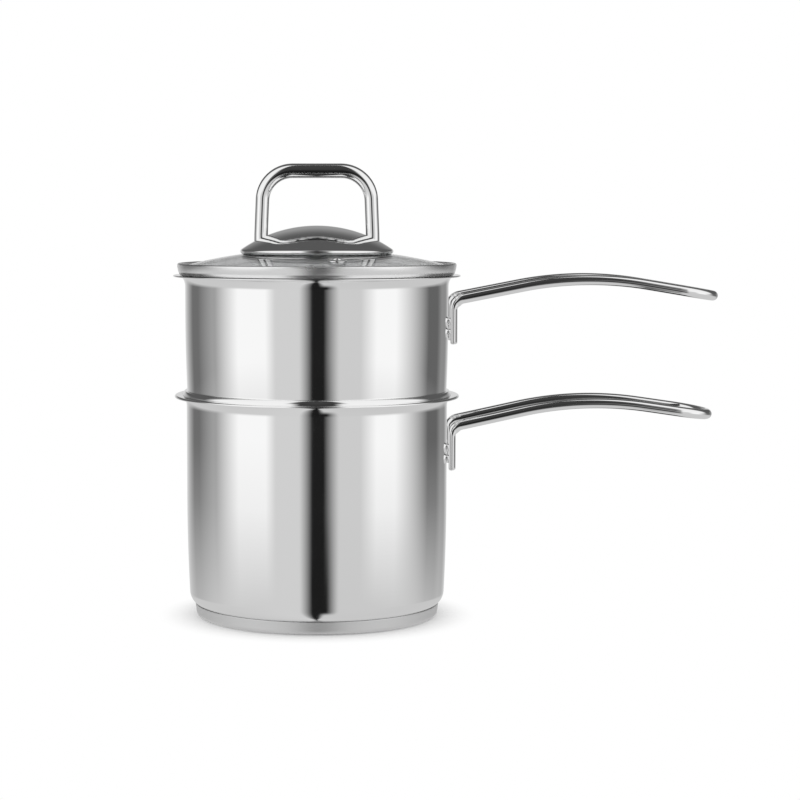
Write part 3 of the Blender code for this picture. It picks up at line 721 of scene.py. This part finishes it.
def loop_stations():
    """Sections of the loop from one foot over the top to the other."""
    _, _, crown = plate_heights()
    bar_height = crown + FINGER_GAP + LOOP_BAR_RADIUS
    leg = LOOP_WIDTH / 2 - LOOP_LEG_RADIUS
    foot = crown - sagitta(PLATE_SPHERE, leg)
    corner = (leg - LOOP_CORNER, bar_height - LOOP_CORNER)
    half = []
    for share in spread(0.0, 1.0, 10)[:-1]:
        lean = LOOP_SPLAY * (1 - share)
        height = foot + (corner[1] - foot) * share
        half.append((leg + lean, height, 90.0, LOOP_LEG_RADIUS))
    for turn in spread(0.0, 90.0, 24):
        angle = math.radians(turn)
        radius = LOOP_LEG_RADIUS + (LOOP_BAR_RADIUS - LOOP_LEG_RADIUS) * turn / 90.0
        half.append((corner[0] + LOOP_CORNER * math.cos(angle),
                     corner[1] + LOOP_CORNER * math.sin(angle), 90.0 + turn, radius))
    for distance in spread(corner[0], 0.0, 5)[1:]:
        half.append((distance, bar_height, 180.0, LOOP_BAR_RADIUS))
    stations = []
    for distance, height, slope, radius in half:
        angle = math.radians(slope)
        stations.append((Vector((distance, 0.0, height)),
                         Vector((math.cos(angle), 0.0, math.sin(angle))),
                         Vector((math.sin(angle), 0.0, -math.cos(angle))), radius, radius, 2.0))
    for centre, tangent, up, width, depth, power in reversed(stations[:-1]):
        stations.append((Vector((-centre.x, 0.0, centre.z)),
                         Vector((tangent.x, 0.0, -tangent.z)),
                         Vector((-up.x, 0.0, up.z)), width, depth, power))
    return stations


def knob_loop():
    _, _, crown = plate_heights()

    def on_dome(point):
        return crown - sagitta(PLATE_SPHERE, math.hypot(point.x, point.y)) - LOOP_SINK

    bar = sweep("knob_loop_bar", loop_stations(), polished("loop_steel"), ends=on_dome)
    return stand_for(bar, "lid", "polished_steel", "knob_loop")


def pieces_as_packed():
    """Finishes for the knob's fixings and the base's core, which keep their CAD shapes."""
    fixings = polished("fixing_steel", 0.1, 0.2)
    finishes = {"knob_post": fixings, "knob_washer": fixings, "knob_screw": fixings,
                "knob_gasket": silicone("gasket_silicone"),
                "base_core": polished("core_aluminium", 0.3, 0.45, (0.80, 0.81, 0.82))}
    for node, finish in finishes.items():
        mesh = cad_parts[node].data
        mesh.materials.clear()
        mesh.materials.append(finish)


# Studio

# Walls, soft boxes and flags round the pot: first and last degree from the camera's side,
# level. Between two of them the level fades from one to the other.
# At eye level: back wall, flag, grey card, soft box, white wall, black strip, white wall,
# soft box, flag, grey card, back wall
WALL_LIGHTS = (
    (-180, -166, 0.70), (-138, -126, 0.16), (-103, -99, 0.36), (-72, -45, 1.0),
    (-36, -15, 0.67), (-4, 6, 0.014), (19, 38, 0.64), (53, 72, 1.0), (114, 130, 0.13),
    (140, 152, 0.27), (168, 180, 0.70))
# Below eye level: white walls on both sides of the black strip
LOW_LIGHTS = (
    (-180, -112, 0.61), (-30, -15, 0.66), (-4.5, 9, 0.012), (19, 60, 0.62), (112, 180, 0.60))
# Near the ground: the same, with a second black strip behind the pot
FOOT_LIGHTS = (
    (-180, -175.5, 0.012), (-165, -112, 0.61), (-30, -15, 0.66), (-4.5, 2, 0.012),
    (7.5, 161, 0.61), (171, 180, 0.012))
# Over eye level: two wide soft boxes, black between them and dim behind the pot
BOX_LIGHTS = (
    (-180, -174, 0.32), (-158, -112, 0.10), (-98, -22, 0.95), (-15, 15, 0.04),
    (22, 98, 0.95), (112, 158, 0.10), (174, 180, 0.32))
# Overhead: two such boxes, a little narrower
CEILING_LIGHTS = (
    (-180, -112, 0.10), (-95, -30, 0.93), (-22, 22, 0.05), (30, 95, 0.93), (112, 180, 0.10))

# Degrees over the horizon between which one row of lights turns into the next
FOOT_TO_LOW = (-50.0, -20.0)
LOW_TO_WALL = (-15.8, -6.2)
WALL_TO_BOX = (4.0, 11.0)
BOX_TO_CEILING = (18.0, 44.0)
DOME_RADIUS = 12.0
DOME_HEIGHT = 0.15

# The floor: distances from the axis between which its shading turns into plain white,
# and the share of plain white that is in the shading close to the pot
FLOOR_REACH = 12.0
FLOOR_DROP = 0.0002
SHADOW_START = 0.070
SHADOW_END = 0.100
SHADOW_LIGHT = 0.05


def level_ramp(tree, position, lights):
    """A ramp round the pot with two stops for each light."""
    ramp = add(tree, "ShaderNodeValToRGB", position)
    stops = ramp.color_ramp.elements
    while len(stops) > 1:
        stops.remove(stops[-1])
    edges = [(angle, level) for first, last, level in lights for angle in (first, last)]
    for index, (angle, level) in enumerate(edges):
        place = (angle + 180) / 360
        stop = stops[0] if index == 0 else stops.new(place)
        stop.position = place
        stop.color = (level, level, level, 1.0)
    return ramp.outputs[0]


def blend_levels(tree, share, first, second):
    """A mix of two colours, by the share of the second; 6, 7 and 2 are colour sockets."""
    mix = tree.nodes.new("ShaderNodeMix")
    mix.data_type = 'RGBA'
    tree.links.new(share, mix.inputs[0])
    tree.links.new(first, mix.inputs[6])
    tree.links.new(second, mix.inputs[7])
    return mix.outputs[2]


def studio_walls():
    """Light boxes and dark flags round the pot, as one dome that only shine shows."""
    mesh = bpy.data.meshes.new("studio_walls")
    form = bmesh.new()
    bmesh.ops.create_uvsphere(form, u_segments=96, v_segments=48, radius=DOME_RADIUS)
    form.to_mesh(mesh)
    form.free()
    dome = bpy.data.objects.new("studio_walls", mesh)
    bpy.context.scene.collection.objects.link(dome)
    dome.location = (0.0, 0.0, DOME_HEIGHT)
    dome.visible_camera = False
    dome.visible_diffuse = False
    dome.visible_transmission = False
    dome.visible_shadow = False
    made = bpy.data.materials.new("studio_light")
    made.use_nodes = True
    tree = made.node_tree
    tree.nodes.clear()
    point = add(tree, "ShaderNodeVectorMath", object_point(tree), operation='NORMALIZE')
    axes = add(tree, "ShaderNodeSeparateXYZ", point.outputs[0]).outputs
    across = math_node(tree, 'MULTIPLY', axes[1], -1.0)
    azimuth = math_node(tree, 'ARCTAN2', axes[0], across)
    position = math_node(tree, 'MULTIPLY_ADD', azimuth, 0.5 / math.pi, 0.5)
    height = math_node(tree, 'MULTIPLY', math_node(tree, 'ARCSINE', axes[2]), 180 / math.pi)
    wall = level_ramp(tree, position, WALL_LIGHTS)
    low = level_ramp(tree, position, LOW_LIGHTS)
    boxes = level_ramp(tree, position, BOX_LIGHTS)
    ceiling = level_ramp(tree, position, CEILING_LIGHTS)
    foot = level_ramp(tree, position, FOOT_LIGHTS)
    level = blend_levels(tree, map_range(tree, height, *FOOT_TO_LOW), foot, low)
    rise = map_range(tree, height, *LOW_TO_WALL, kind='LINEAR')
    level = blend_levels(tree, rise, level, wall)
    level = blend_levels(tree, map_range(tree, height, *WALL_TO_BOX), level, boxes)
    level = blend_levels(tree, map_range(tree, height, *BOX_TO_CEILING), level, ceiling)
    light = tree.nodes.new("ShaderNodeEmission")
    tree.links.new(level, light.inputs[0])
    out = tree.nodes.new("ShaderNodeOutputMaterial")
    tree.links.new(light.outputs[0], out.inputs[0])
    made.cycles.emission_sampling = 'NONE'
    mesh.materials.append(made)
    return dome


def floor():
    """White floor: it keeps the contact shadow, which fades into plain white further out."""
    mesh = bpy.data.meshes.new("floor")
    corners = [(FLOOR_REACH * side, FLOOR_REACH * end, 0.0)
               for side, end in ((-1, -1), (1, -1), (1, 1), (-1, 1))]
    mesh.from_pydata(corners, [], [(0, 1, 2, 3)])
    ground = bpy.data.objects.new("floor", mesh)
    bpy.context.scene.collection.objects.link(ground)
    ground.location = (0.0, 0.0, -FLOOR_DROP)
    ground.visible_glossy = False
    made, tree, shader = new_material("floor_white", (0.97, 0.97, 0.97), 0.9, 0.0)
    shader.inputs["Specular IOR Level"].default_value = 0.0
    axes = add(tree, "ShaderNodeSeparateXYZ", object_point(tree)).outputs
    across = math_node(tree, 'MULTIPLY', axes[0], axes[0])
    along = math_node(tree, 'MULTIPLY', axes[1], axes[1])
    distance = math_node(tree, 'SQRT', math_node(tree, 'ADD', across, along))
    share = map_range(tree, distance, SHADOW_START, SHADOW_END, SHADOW_LIGHT, 1.0)
    light = tree.nodes.new("ShaderNodeEmission")
    light.inputs[0].default_value = (1.0, 1.0, 1.0, 1.0)
    path = tree.nodes.new("ShaderNodeLightPath").outputs
    seen = math_node(tree, 'MAXIMUM', path["Is Camera Ray"], path["Is Transmission Ray"])
    mix = add(tree, "ShaderNodeMixShader", math_node(tree, 'MULTIPLY', share, seen))
    tree.links.new(shader.outputs[0], mix.inputs[1])
    tree.links.new(light.outputs[0], mix.inputs[2])
    tree.links.new(mix.outputs[0], tree.nodes["Material Output"].inputs[0])
    mesh.materials.append(made)
    return ground


def daylight():
    """Even white light from everywhere."""
    world = bpy.data.worlds.new("studio_white")
    world.use_nodes = True
    background = world.node_tree.nodes["Background"]
    background.inputs["Color"].default_value = (1.0, 1.0, 1.0, 1.0)
    background.inputs["Strength"].default_value = 1.0
    bpy.context.scene.world = world


def camera():
    data = bpy.data.cameras.new("camera")
    data.sensor_width = 36.0
    data.lens = CAMERA_LENS
    data.shift_x = CAMERA_SHIFT
    data.clip_end = 60.0
    view = bpy.data.objects.new("camera", data)
    bpy.context.scene.collection.objects.link(view)
    view.location = CAMERA_PLACE
    view.rotation_euler = (math.pi / 2 - CAMERA_PITCH, 0.0, 0.0)
    bpy.context.scene.camera = view


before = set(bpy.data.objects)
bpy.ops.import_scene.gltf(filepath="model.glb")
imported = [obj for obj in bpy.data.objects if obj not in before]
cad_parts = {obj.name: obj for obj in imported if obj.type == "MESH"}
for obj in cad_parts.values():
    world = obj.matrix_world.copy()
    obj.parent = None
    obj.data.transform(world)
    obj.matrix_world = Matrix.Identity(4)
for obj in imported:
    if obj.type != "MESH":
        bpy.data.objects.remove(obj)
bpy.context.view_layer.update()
lower_pan()
base()
upper_pan()
handle("lower_handle", "lower_pan", LOWER_RADIUS, LOWER_REACH, LOWER_CREST)
handle("upper_handle", "upper_pan", UPPER_RADIUS, UPPER_REACH, UPPER_CREST, UPPER_DROOP)
lid_glass()
lid_band()
vent()
knob_plate()
knob_loop()
pieces_as_packed()
floor()
studio_walls()
daylight()
camera()
bpy.context.scene.view_settings.view_transform = 'Standard'
